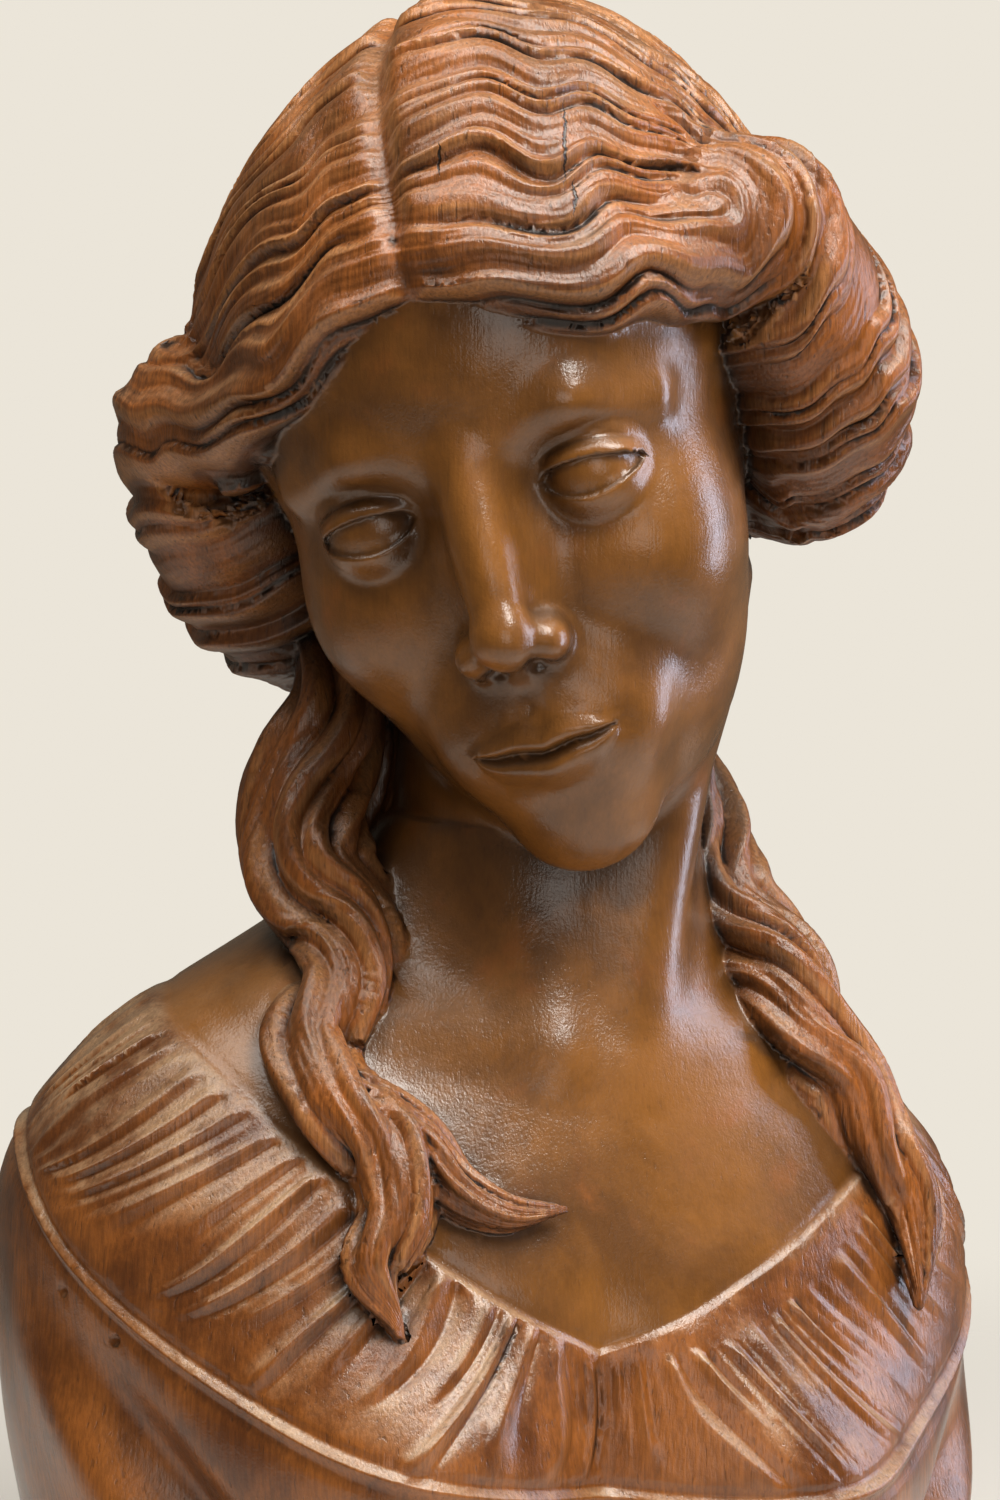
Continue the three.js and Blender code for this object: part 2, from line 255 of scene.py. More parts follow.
# Angle from the front, height, how far out, spread in angle and in height, and how far the angle
# grows with each millimetre of height.
TORSO_SWELLS = (
    (30, 114, 24, 19, 36, 0),  # breasts
    (56, 85, -15, 6, 46, 0.3),  # creases beside the arms
    (66, 85, 5, 6, 44, 0.3),  # edges of the arms
    (0, 120, -6, 9, 55, 0),  # hollow between the breasts
    (31, 172, -3, 16, 14, 0),  # hollow above them
)

NECKLINE_FRONT = 165.0
NECKLINE_RISE = 88.0
PIPING_FRONT = 109.0
PIPING_RISE = 96.0
PLEATS = 44
PLEAT_REACH = math.radians(97)
PLEAT_FAN = math.radians(22)


def smoothed_sections(spread=6):
    """The torso's sections at every millimetre of height, evened so that no kinks show."""
    heights = np.arange(TORSO_SECTIONS[0, 0], TORSO_SECTIONS[-1, 0] + 1)
    values = smooth_curve(TORSO_SECTIONS[:, 0], TORSO_SECTIONS[:, 1:], heights)
    window = np.exp(-0.5 * (np.arange(-3 * spread, 3 * spread + 1) / spread) ** 2)
    window /= window.sum()
    columns = []
    for column in values.T:
        padded = np.pad(column, 3 * spread, mode="reflect", reflect_type="odd")
        columns.append(np.convolve(padded, window, mode="valid"))
    return heights, np.column_stack(columns)


SECTION_HEIGHTS, SECTIONS = smoothed_sections()


def on_torso(points):
    """Angle from the front, height without the shoulders' tilt, and distance from the axis."""
    x, y, z = points.T
    height = z
    for _ in range(3):
        height = z + SHOULDER_TILT * smoothstep(0, TILT_FULL_HEIGHT, height) * x
    x = x + TORSO_LEAN * smoothstep(235, 170, height)
    return np.arctan2(x, -y), height, np.hypot(x, y)


def torso_radius(angle, height):
    width, front, back = (np.interp(height, SECTION_HEIGHTS, column) for column in SECTIONS.T)
    depth = np.where(np.cos(angle) > 0, front, back)
    oval = (
        np.abs(np.sin(angle) / width) ** SQUARENESS + np.abs(np.cos(angle) / depth) ** SQUARENESS
    ) ** (-1 / SQUARENESS)
    for where, high, out, angle_spread, height_spread, slant in TORSO_SWELLS:
        middle = np.radians(where + slant * (height - high))
        aside = (np.abs(angle) - middle) / math.radians(angle_spread)
        oval = oval + out * np.exp(-(aside**2) - ((height - high) / height_spread) ** 2)
    return oval


def neckline_height(angle):
    """Height of the neckline, which comes to a blunt point in front."""
    angle = np.abs(angle)
    share = np.minimum(angle, math.radians(100)) * 0.9
    point = 10 * np.exp(-angle / math.radians(13))
    return NECKLINE_FRONT - point + NECKLINE_RISE * np.sin(share) ** 2


def piping_height(angle):
    share = smooth_min(np.abs(angle) / math.radians(91), 1.0, 0.16)
    return PIPING_FRONT + PIPING_RISE * share**2.6


def dress_shares(angle, height):
    """Which pleat a place is on, and its share of the way from the neckline to the piping."""

    def share_below(foot):
        top = neckline_height(foot)
        return (top - height) / (top - piping_height(angle))

    foot = angle
    for _ in range(3):
        share = np.clip(share_below(foot), 0, 1)
        foot = angle - PLEAT_FAN * share * np.sin(1.8 * np.abs(foot)) * np.sign(foot)
    return foot / (2 * PLEAT_REACH / PLEATS) + PLEATS / 2, share_below(foot)


def pleat_relief(pleat, share):
    """Chisel-cut gathers: thin folds of different lengths between tilted facets."""
    wander = pleat + 0.2 * np.sin(4.3 * share + pleat * 1.3) + 0.15 * np.sin(pleat * 1.7)
    fold = np.floor(wander)
    across = wander - fold
    reach = 0.5 + 0.55 * chance(fold, 1)
    strength = 0.3 + 0.7 * chance(fold, 2)
    tilt = 2.0 * (chance(fold, 3) - 0.4)
    middle = 0.4 + 0.25 * chance(fold, 4)
    fade = smoothstep(0, 0.05, share) * (1 - smoothstep(reach - 0.3, reach, share))
    thin = 1.7 * bump(across, middle - 0.17, 0.17) - 1.1 * bump(across, middle + 0.12, 0.14)
    facet = tilt * (across - 0.5) * (1 - bump(across, 0, 0.1)) * (1 - bump(across, 1, 0.1))
    ends = smoothstep(0, 0.08, share) * (1 - smoothstep(0.8, 1, share))
    return strength * fade * thin + facet * ends


def dress_relief(points, angle, height):
    pleat, share = dress_shares(angle, height)
    drop = neckline_height(angle) - height
    cloth = smoothstep(-0.6, 1.6, drop)
    below = height - piping_height(angle)
    relief = 1.3 * cloth - 0.5 * bump(drop, -1.6, 1.6)
    gathered = pleat_relief(pleat, share)
    front = smoothstep(math.radians(75), math.radians(30), np.abs(angle))
    plain = 3 + 13 * bump(angle, math.radians(34), math.radians(26))
    relief = relief + gathered * (1.2 + 0.6 * front) * smoothstep(plain - 3, plain + 3, drop)
    relief = relief + 1.6 * bump(below, 0, 1.7) - 1.0 * bump(below, 3.8, 1.8)
    relief = relief - 0.7 * bump(below, -4.2, 2.4)
    return relief + 0.5 * ripple(points, 34, 5) * cloth


SHOULDER_TOP = 312.0


def torso_field(points, carved):
    angle, height, away = on_torso(points)
    radius = torso_radius(angle, height)
    if carved:
        radius = radius + dress_relief(points, angle, height)
    slope = (torso_radius(angle, height + 2) - torso_radius(angle, height - 2)) / 4
    steep = np.sqrt(1 + np.minimum(slope**2, 9))
    return smooth_max((away - radius) / steep, height - SHOULDER_TOP, 8)


# ---- The head -------------------------------------------------------------------------------

HEAD_SCALE = 1.17
HEAD_CENTRE = np.array([-7.0, -28.0, 453.0])
HEAD_TURN = -28.0
HEAD_NOD = 16.0
HEAD_LEAN = -15.5


def turn_about(axis, degrees):
    """A right-handed turn about X, Y or Z, written 0, 1 or 2."""
    a, b = (axis + 1) % 3, (axis + 2) % 3
    matrix = np.eye(3)
    matrix[a, a] = matrix[b, b] = math.cos(math.radians(degrees))
    matrix[b, a] = math.sin(math.radians(degrees))
    matrix[a, b] = -matrix[b, a]
    return matrix


HEAD_FRAME = turn_about(2, HEAD_TURN) @ turn_about(0, HEAD_NOD) @ turn_about(1, HEAD_LEAN)


def in_head(points):
    return (points - HEAD_CENTRE) @ HEAD_FRAME / HEAD_SCALE


def from_head(points):
    return np.asarray(points, float) * HEAD_SCALE @ HEAD_FRAME.T + HEAD_CENTRE


EYE = (31, -70.5, 0)
EYE_RADIUS = 13.2
LID_THICKNESS = 1.9


def skull_field(p, side):
    d = ellipsoid(p, (0, 10, 28), (73, 92, 84))
    d = smooth_min(d, ellipsoid(p, (0, -15, 34), (67, 69, 58)), 18)
    d = smooth_min(d, ellipsoid(p, (0, -22, -22), (60, 63, 66)), 16)
    d = smooth_min(d, ellipsoid(p, (0, -30, -60), (47, 54, 49)), 20)
    d = smooth_min(d, ellipsoid(side, (36, -50, -26), (24, 30, 26)), 18)
    d = smooth_min(d, ellipsoid(p, (0, -70, -93), (20, 17, 17)), 14)
    return d


def eye_field(side, face):
    """The eye's socket, ball and lids joined to the face."""
    socket = ellipsoid(side, (30, -96, 2), (20, 20, 13))
    d = smooth_max(face, -socket, 12)
    offset = side - np.array(EYE)
    ball = np.linalg.norm(offset, axis=1) - EYE_RADIUS
    across = np.clip((side[:, 0] - EYE[0]) / 15.5, -1, 1)
    middle = 0.6 - 1.2 * across**3
    upper = 5.8 * (1 - across**2) ** 0.8 + middle
    lower = -4.6 * (1 - across**2) + middle
    high = offset[:, 2]
    opening = np.maximum(high - upper, lower - high)
    lids = smooth_max(ball - LID_THICKNESS, -opening, 1.6)
    crease = 1.0 * bump(high, upper + 4.4, 1.5) * smoothstep(-1.1, -0.6, -np.abs(across))
    d = smooth_min(d, lids + crease, 3.5)
    return smooth_min(d, ball, 1.2)


def nose_field(p, side, face):
    d = smooth_min(face, ellipsoid(p, (0, -80, -20), (11, 20, 30)), 12)
    d = smooth_min(d, bar(p, (0, -84, 17), (0, -102, -27), 3.8, 6.2), 8)
    d = smooth_min(d, ellipsoid(p, (0, -102.5, -32), (8.0, 8.6, 7.6)), 6)
    d = smooth_min(d, ellipsoid(side, (10.4, -94, -36), (5.6, 8.6, 6.0)), 5)
    d = smooth_min(d, bar(p, (0, -103, -36), (0, -92, -42), 3.2, 3.4), 3)
    return smooth_max(d, -ellipsoid(side, (6.0, -97, -42.6), (2.6, 4.4, 2.2)), 3)


MOUTH_LEVEL = -66.0
MOUTH_HALF_WIDTH = 21.0


def mouth_field(p, side, face):
    """Closed lips on the rounded muzzle, with the groove above them and the hollow below."""
    x = side[:, 0]
    z = p[:, 2]
    d = smooth_min(face, ellipsoid(p, (0, -77, -65), (30, 17, 22)), 16)
    full = np.clip(1 - (x / MOUTH_HALF_WIDTH) ** 2, 0, 1)
    line = MOUTH_LEVEL - 0.9 * bump(x, 0, 5) + 0.5 * bump(x, 9, 6) + 1.2 * smoothstep(12, 22, x)
    upper_height = 7.4 * full**0.8 * (1 - 0.16 * bump(x, 0, 3)) + 0.1
    lower_height = 8.6 * full**0.6 + 0.1
    above = (z - line) / upper_height
    below = (line - z) / lower_height
    upper = smoothstep(-0.1, 0.5, above) * smoothstep(1.4, 0.5, above)
    lower = smoothstep(-0.1, 0.5, below) * smoothstep(1.5, 0.5, below)
    groove = 1.0 * bump(x, 0, 3) * smoothstep(-58, -54, z) * smoothstep(-44, -50, z)
    corner = 0.8 * np.exp(-(((x - 22) / 4) ** 2) - ((z - MOUTH_LEVEL) / 3.5) ** 2)
    lips = np.sqrt(full) * (2.8 * upper + 3.4 * lower) - 0.7 * bump(z, line, 1.2) * np.sqrt(full)
    d = d + (groove + corner - lips) * smoothstep(-68, -78, p[:, 1])
    return smooth_max(d, -ellipsoid(p, (0, -103, -83), (17, 10.5, 4.5)), 8)


def brow_field(side, face):
    d = smooth_min(face, bar(side, (12, -77, 15), (30, -76.5, 20), 4.2, 4.2), 13)
    return smooth_min(d, bar(side, (30, -76.5, 20), (50, -61, 14), 4.2, 3.2), 13)


def face_field(points):
    """Skull, face and features as one blended form."""
    p = in_head(points)
    side = mirrored(p)
    d = skull_field(p, side)
    d = brow_field(side, d)
    d = eye_field(side, d)
    d = nose_field(p, side, d)
    d = mouth_field(p, side, d)
    return d * HEAD_SCALE


# ---- Neck -----------------------------------------------------------------------------------

NECK_BASE = (3, -10, 215)
NECK_TOP_IN_HEAD = (0, 14, -40)
NECK_RADII = (62, 55, 53, 56)
FACE_REACH = 150.0


def neck_route():
    top = from_head([NECK_TOP_IN_HEAD])[0]
    shares = np.linspace(0, 1, len(NECK_RADII))
    base = np.array(NECK_BASE, float)
    return [[*(base + (top - base) * share), radius] for share, radius in zip(shares, NECK_RADII)]


NECK = Limb(neck_route())


def neck_field(points):
    _, _, away, radius = NECK.place(points)
    return away - radius


def tendon_field(points):
    """The long muscles from behind each ear to the pit of the neck, and the collar bones."""
    d = np.full(len(points), FAR)
    for way in (-1, 1):
        ear = from_head([(way * 44, 4, -58)])[0]
        pit = (3 + way * 12, -63, 243 - way * 3)
        d = smooth_min(d, bar(points, ear, pit, 8, 6), 6)
        shoulder = (3 + way * 92, -36, 251 - way * 8)
        d = smooth_min(d, bar(points, pit, shoulder, 5.5, 8), 10)
    return d


def skin_field(points, carved):
    d = torso_field(points, carved)
    d = smooth_min(d, neck_field(points), 34)
    d = smooth_min(d, tendon_field(points), 20)
    low, high = HEAD_CENTRE - FACE_REACH, HEAD_CENTRE + FACE_REACH
    return smooth_min(d, where_near(points, low, high, 0, face_field), 9)


# ---- Hair -----------------------------------------------------------------------------------

CAP_CENTRE = (3, 10, 28)
CAP_RADII = (87, 106, 98)
CAP_GIRTH = 96.0  # turns an angle about the head's middle into a distance over the cap
ROLL_DROP = 10.0  # how much lower the roll over her right ear hangs
WAVE_LENGTH = 33.0
HAIR_REACH = 175.0

ROLL_HALF = (
    (5, -79, 71, 3),
    (27, -77, 58, 8),
    (50, -64, 47, 13),
    (67, -41, 44, 19),
    (81, -17, 41, 27),
    (85, -4, 12, 30),
    (85, 8, -12, 30),
    (78, 20, -32, 25),
    (64, 46, -42, 22),
    (34, 78, -42, 21),
)


def roll_route():
    """The roll of hair from the parting over one ear, round the nape and back over the other."""
    back = [(0, 91, -40, 21)]
    other = [(-x, y, z, radius) for x, y, z, radius in reversed(ROLL_HALF)]
    return [*ROLL_HALF, *back, *other]


ROLL = Limb(roll_route(), outward=(0, -1, 0))


def hung(p):
    """The head's points with her right side lifted, so that both rolls are at one height."""
    lift = ROLL_DROP * smoothstep(-30, -70, p[:, 0])
    return np.column_stack([p[:, 0], p[:, 1], p[:, 2] + lift])


def from_hairline(side):
    """Distance behind the hairline, which peaks at the parting."""
    dip = 11 * bump(side[:, 0], 36, 21)
    return (side[:, 1] + side[:, 2] + 24 + dip) * math.sqrt(0.5)


# Strands run beside these lines over the brow and turn round their ends. Over her left ear the
# end faces forward, over her right ear it lies on the side of the head. Both are written for her
# left side.
SPINE_START = ((0, -76, 86, 1), (20, -76.5, 80, 1), (40, -73, 72, 1))
SPINE_HER_LEFT = Limb((*SPINE_START, (60, -60, 67, 1), (77, -48, 58, 1)))
SPINE_HER_RIGHT = Limb((*SPINE_START, (62, -53, 71, 1), (80, -26, 66, 1), (88, -2, 56, 1)))
SPINE_EDGE = 24.0


def from_spine(spine, side):
    """Distance from a spine, and how far round its end a place lies."""
    _, _, reach, _ = spine.place(side)
    beyond = side - spine.centres[-1]
    ahead = np.maximum(beyond @ spine.tangents[-1], 0)
    aside = np.sqrt(np.maximum((beyond**2).sum(axis=1) - ahead**2, 0))
    return reach, reach * np.arctan2(ahead, aside + 1)


def comb(p):
    """Distance across the strands in the cap and in the rolls, and distance along them."""
    side = mirrored(hung(p))
    x, y, z = side.T
    edge = from_hairline(side)
    back = CAP_GIRTH * (np.arctan2(z - 10, 10 - y) - math.radians(24))
    share = smoothstep(SPINE_EDGE - 6, 50, edge)
    cap = edge * (1 - share) + back * share
    hers = p[:, 0] > 0
    reach = np.empty(len(p))
    turned = np.empty(len(p))
    for spine, here in ((SPINE_HER_LEFT, hers), (SPINE_HER_RIGHT, ~hers)):
        reach[here], turned[here] = from_spine(spine, side[here])
    front = SPINE_EDGE - reach
    outer = smoothstep(54, 78, x)
    along = CAP_GIRTH * np.arctan2(x, np.hypot(y - 10, z - 10)) + 0.8 * turned * outer
    above = smoothstep(SPINE_EDGE - 6, SPINE_EDGE + 6, edge)
    lag = 1.7 * ripple(p, 34, 11) + 0.02 * cap
    sway = np.sin(2 * math.pi * along / WAVE_LENGTH + lag)
    sway = sway * smoothstep(4, 24, along) * (1 - 0.5 * outer)
    wander = 2.4 * ripple(p, 32, 12) + 1.3 * ripple(p, 17, 14) * (1 - 0.6 * outer)
    in_cap = front * (1 - above) + cap * above + sway * (1.9 + 0.8 * above) + wander
    rolled = above * (1 - outer)
    in_roll = front * (1 - rolled) + cap * rolled + sway * (1.9 + 0.8 * rolled) + wander
    return in_cap, in_roll, along


def lock_relief(across, along, seed, smoother=0.0):
    """Locks of different sizes, each a bundle of finer strands: height in millimetres."""
    wide = across / 16.5 + 0.3 * np.sin(across * 0.13 + seed) + 0.12 * np.sin(along * 0.06 + seed)
    broad = ridge(wide, 2.0, 0.2)
    fine = across / 7.4 + 0.26 * np.sin(across * 0.31 + seed) + 0.16 * np.sin(along * 0.07)
    strand = np.floor(fine)
    fullness = 0.5 + 0.5 * np.sin(along * 0.11 + 6.28 * chance(strand, seed))
    thin = ridge(fine, 2.0, 0.18)
    crossing = (across + 0.2 * along) / 14 + 0.25 * np.sin(along * 0.08)
    over = ridge(crossing, 2.2, 0.2) * smoothstep(0.35, 0.8, chance(np.floor(crossing), seed))
    split = ridge(fine * 2 + 0.35 * np.sin(along * 0.1 + strand * 2), 2.0, 0.3)
    rough = 1 - smoother
    height = (2.0 + 0.9 * smoother) * broad + (1.5 + fullness - 0.5 * smoother) * thin
    height = height + 0.5 * rough * split * thin
    return smooth_max(height, rough * (3.0 * over + 0.8 * thin), 1.4) - 3.3


def cap_field(p, side, carved):
    """The hair over the skull, which ends in a rounded edge at the hairline."""
    d = ellipsoid(p, CAP_CENTRE, CAP_RADII)
    edge = from_hairline(side)
    parting = bump(p[:, 0], 0.9 * np.sin(p[:, 1] * 0.06), 4.0) * smoothstep(70, 20, p[:, 1])
    lower = 8 * smoothstep(22, -30, p[:, 0]) * smoothstep(50, 112, p[:, 2])
    d = d - 1.5 * smoothstep(24, 0, edge) + 4.5 * parting + lower
    tucked = edge - 14 * smoothstep(48, 68, side[:, 0])
    d = smooth_max(d, -tucked + 0.7 * ripple(p, 22, 3), 12)
    if carved:
        across, _, along = comb(p)
        gathered = smoothstep(14, 46, np.hypot(p[:, 1] - 10, p[:, 2] - 10))
        d = d - lock_relief(across, along, 1.0) * (1 - 0.8 * parting) * gathered
    return smooth_max(d, -(p[:, 2] + 62), 20)


def roll_field(p, carved):
    """The roll, whose strands flow in from the cap at the temples."""
    _, _, away, radius = ROLL.place(hung(p))
    d = away - radius
    if carved:
        _, across, along = comb(p)
        smoother = smoothstep(12, 24, radius)
        d = d - lock_relief(across, along, 1.0, smoother) * np.clip(radius / 10, 0.5, 1)
    return d


HAIR_BEHIND_NECK = Limb(
    (
        (14, 26, 404, 60),
        (8, 32, 355, 60),
        (3, 38, 305, 63),
        (1, 50, 264, 54),
        (0, 66, 236, 26),
    ),
    outward=(0, 1, 0),
)

TRESS_HER_RIGHT = Limb(
    (
        (-54, 16, 386, 14),
        (-61, 4, 358, 18),
        (-74, -4, 330, 20),
        (-77, -17, 305, 21),
        (-69, -32, 286, 19),
        (-74, -46, 268, 17),
        (-89, -56, 251, 16),
        (-86, -72, 236, 15),
        (-72, -86, 219, 14),
        (-73, -96, 201, 12),
        (-83, -101, 186, 9),
        (-77, -108, 168, 2.5),
    )
)

CURL_HER_RIGHT = Limb(
    (
        (-77, -76, 238, 8),
        (-63, -86, 225, 9),
        (-53, -93, 210, 8.5),
        (-38, -99, 202, 6.5),
        (-20, -101, 202, 2),
    )
)

TRESS_HER_LEFT = Limb(
    (
        (60, 24, 372, 13),
        (61, 12, 342, 18),
        (67, 0, 312, 21),
        (70, -18, 287, 21),
        (82, -36, 268, 20),
        (88, -50, 247, 18),
        (101, -58, 230, 16),
        (108, -66, 211, 14),
        (119, -73, 192, 11),
        (113, -91, 163, 2.5),
    )
)


TRESS_STRANDS = 9
STRAND_SPACING = 9.0


def tress_turn(length, angle):
    """How many strands a place is round a tress. The strands twist and sway along it."""
    return TRESS_STRANDS * angle / (2 * math.pi) + 0.9 * np.sin(length / 21) + length / 90


def tress_relief(length, angle, radius):
    turn = tress_turn(length, angle)
    broad = ridge(turn / 2 + 0.2 * np.sin(length / 13), 2.0)
    strand = ridge(turn + 0.2 * np.sin(turn), 2.0)
    fine = ridge(2 * turn + 0.4 * np.sin(length / 9), 2.0)
    return radius * (0.22 * (broad - 0.7) + 0.17 * (strand - 0.7) + 0.04 * fine * strand)


def behind_relief(length, angle, _):
    across = angle * 60 + 4 * np.sin(length / 12 + 2 * angle)
    return lock_relief(across, length, 3.0)


def limb_field(limb, relief):
    """The field of one hanging mass of hair, with its relief if there is one."""

    def measure(points):
        length, angle, away, radius = limb.place(points)
        d = away - radius
        return d if relief is None else d - relief(length, angle, radius)

    return measure


# Each mass, its relief, and how softly it joins the rest.
HANGING_HAIR = (
    (HAIR_BEHIND_NECK, behind_relief, 8),
    (TRESS_HER_RIGHT, tress_relief, 3),
    (TRESS_HER_LEFT, tress_relief, 3),
    (CURL_HER_RIGHT, tress_relief, 2),
)


def hair_field(points, carved):
    """The cap, the rolls, the mass behind the neck and the tresses."""

    def head_hair(near):
        p = in_head(near)
        side = mirrored(p)
        d = smooth_min(cap_field(p, side, carved), roll_field(p, carved), 7)
        return d * HEAD_SCALE

    low, high = HEAD_CENTRE - HAIR_REACH, HEAD_CENTRE + HAIR_REACH
    d = where_near(points, low, high, 0, head_hair)
    for limb, relief, joint in HANGING_HAIR:
        measure = limb_field(limb, relief if carved else None)
        d = smooth_min(d, where_near(points, limb.low, limb.high, 18, measure), joint)
    return d


# ---- The bust as a field and as a mesh ------------------------------------------------------

BACK_SEAT_Y = 98.0
BACK_SEAT_TOP = 215.0
EDGE_ROUNDING = 2.5

# Where the wood of the sleeve has been knocked: place and radius.
PITS = ((-168.6, -41.5, 175.0, 2.1), (-156.2, -61.0, 161.5, 1.9), (-165.0, -52.0, 150.0, 1.5))


def knocked(d, points):
    for x, y, z, radius in PITS:
        away = np.linalg.norm(points - np.array([x, y, z]), axis=1)
        d = smooth_max(d, radius - away, 1.2)
    return d


def bust_field(points, carved=True):
    d = smooth_min(skin_field(points, carved), hair_field(points, carved), 1.5)
    seat = np.minimum(points[:, 1] - BACK_SEAT_Y, BACK_SEAT_TOP - points[:, 2])
    d = smooth_max(d, seat, EDGE_ROUNDING)
    if carved:
        d = knocked(d, points)
    return smooth_max(d, -points[:, 2], EDGE_ROUNDING)


def plain_field(points):
    return bust_field(points, False)


CHUNK = 20000
WORKERS = 4
GRID_BLOCK = 4
GRID_MARGIN = 16


def in_chunks(measure, points):
    """A measure of many points, worked out in chunks side by side."""
    chunks = [points[n : n + CHUNK] for n in range(0, len(points), CHUNK)]
    with ThreadPoolExecutor(max_workers=WORKERS) as workers:
        return np.concatenate(list(workers.map(measure, chunks)))


def slope_of(measure, points, reach):
    """The direction in which a field rises, from its values at four places round each point."""
    slope = np.zeros_like(points)
    for corner in ((1, -1, -1), (-1, -1, 1), (-1, 1, -1), (1, 1, 1)):
        corner = np.array(corner, float)
        slope += measure(points + reach * corner)[:, None] * corner
    return slope / np.maximum(np.linalg.norm(slope, axis=1), 1e-9)[:, None]


def sampled_field(low, shape, voxel):
    """The plain field on a grid. Only blocks near the surface are worked out in full."""
    block = GRID_BLOCK
    counts = [size // block for size in shape]
    axes = [low[n] + (np.arange(counts[n]) * block + (block - 1) / 2) * voxel for n in range(3)]
    centres = np.stack(np.meshgrid(*axes, indexing="ij"), axis=-1).reshape(-1, 3)
    coarse = in_chunks(plain_field, centres)
    grid = np.repeat(coarse, block**3).reshape(*counts, block, block, block)
    steps = (np.arange(block) - (block - 1) / 2) * voxel
    local = np.stack(np.meshgrid(steps, steps, steps, indexing="ij"), axis=-1).reshape(-1, 3)
    near = np.flatnonzero(np.abs(coarse) < block * voxel * 1.6)
    fine = (centres[near][:, None, :] + local).reshape(-1, 3)
    values = in_chunks(plain_field, fine)
    flat = grid.reshape(len(centres), -1).copy()
    flat[near] = values.reshape(len(near), -1)
    blocks = flat.reshape(*counts, block, block, block)
    return blocks.transpose(0, 3, 1, 4, 2, 5).reshape(shape)


def largest_shell(count, faces):
    """The faces of the shell with the most corners, leaving sealed bubbles out."""
    label = np.arange(count)
    while True:
        lowest = label[faces].min(axis=1)
        fresh = label.copy()
        for corner in range(faces.shape[1]):
            np.minimum.at(fresh, faces[:, corner], lowest)
        fresh = fresh[fresh]
        if np.array_equal(fresh, label):
            break
        label = fresh
    names, sizes = np.unique(label, return_counts=True)
    return faces[label[faces[:, 0]] == names[np.argmax(sizes)]]


def first_mesh(voxel):
    """Points and four-cornered faces of the plain bust."""
    low = np.array(CAD_BOX[0]) / MM - GRID_MARGIN
    span = (np.array(CAD_BOX[1]) - np.array(CAD_BOX[0])) / MM + 2 * GRID_MARGIN
    shape = tuple(int(math.ceil(size / voxel / GRID_BLOCK)) * GRID_BLOCK for size in span)
    values = sampled_field(low, shape, voxel)
    grid = openvdb.FloatGrid(FAR)
    grid.copyFromArray(values.astype(np.float32))
    points, _, quads = grid.convertToPolygons(isovalue=0.0, adaptivity=0.0)
    points = points.astype(float) * voxel + low
    quads = largest_shell(len(points), quads.astype(np.int64))
    used, quads = np.unique(quads, return_inverse=True)
    return points[used], quads.reshape(-1, 4)


def mesh_from(name, points, faces):
    corners = faces.shape[1]
    mesh = bpy.data.meshes.new(name)
    mesh.vertices.add(len(points))
    mesh.vertices.foreach_set("co", points.astype(np.float32).ravel())
    mesh.loops.add(faces.size)
    mesh.loops.foreach_set("vertex_index", faces.astype(np.int32).ravel())
    mesh.polygons.add(len(faces))
    mesh.polygons.foreach_set("loop_start", np.arange(len(faces), dtype=np.int32) * corners)
    mesh.update(calc_edges=True)
    return mesh


def points_of(mesh):
    points = np.empty(len(mesh.vertices) * 3, np.float32)
    mesh.vertices.foreach_get("co", points)
    return points.reshape(-1, 3).astype(float)


def with_modifier(mesh, kind, **settings):
    """The mesh after one modifier."""
    worked = bpy.data.objects.new("being_carved", mesh)
    bpy.context.scene.collection.objects.link(worked)
    modifier = worked.modifiers.new(kind.title(), kind)
    for key, value in settings.items():
        setattr(modifier, key, value)
    graph = bpy.context.evaluated_depsgraph_get()
    result = bpy.data.meshes.new_from_object(worked.evaluated_get(graph))
    bpy.data.objects.remove(worked)
    bpy.data.meshes.remove(mesh)
    return result


CUTS = 5
DEEPEST_CUT = 2.5
CUT_SHARE = 0.75


def cut_relief(points):
    """Moves points of the plain surface onto the carved one, straight in or out."""

    def moved(near):
        outward = slope_of(plain_field, near, 0.6)
        place = near.copy()
        for _ in range(CUTS):
            step = np.clip(bust_field(place), -DEEPEST_CUT, DEEPEST_CUT)
            place -= CUT_SHARE * step[:, None] * outward
        return place

    return in_chunks(moved, points)


def carve_bust(voxel, face_budget):
    """The carved bust as a triangle mesh, in millimetres."""
    points, quads = first_mesh(voxel)
    mesh = mesh_from("plain", points, quads)
    mesh = with_modifier(mesh, "SUBSURF", subdivision_type="SIMPLE", levels=1, render_levels=1)
    points = cut_relief(points_of(mesh))
    mesh.vertices.foreach_set("co", points.astype(np.float32).ravel())
    mesh.update()
    ratio = face_budget / (2 * len(mesh.polygons))
    return with_modifier(mesh, "DECIMATE", ratio=ratio, use_collapse_triangulate=True)


# ---- Surface data for the finish ------------------------------------------------------------


def strand_phase(points):
    """Distance across the strands of hair, for the finest lines."""
    p = in_head(points)
    in_cap, in_roll, _ = comb(p)
    _, _, away, radius = ROLL.place(hung(p))
    cap = ellipsoid(p, CAP_CENTRE, CAP_RADII)
    phase = np.where(cap < away - radius, in_cap, in_roll)
    nearest = np.minimum(cap, away - radius) * HEAD_SCALE
    for limb, _, _ in HANGING_HAIR:
        length, angle, away, radius = limb.place(points)
        here = away - radius
        phase = np.where(here < nearest, tress_turn(length, angle) * STRAND_SPACING, phase)
        nearest = np.minimum(nearest, here)
    return phase


def hollow_depth(points, outward, reach):
    """How shut in each place is: 0 on a flat surface, less on a rounded one, 1 deep in a groove."""
    clear = bust_field(points + outward * reach) / reach
    return np.clip(1 - clear, -1, 1)


# How far each measure of hollows looks out, in millimetres. The groove measure marks grime in narrow
# grooves and wear on ridges; the hollow and widest measures paint shade into recesses and under
# overhangs.
HOLLOW_REACHES = {"groove": 2.0, "hollow": 9.0, "painted_shelter_shade": 45.0}
SURFACE_NUMBERS = ("hair", "cloth", *HOLLOW_REACHES, "strand")


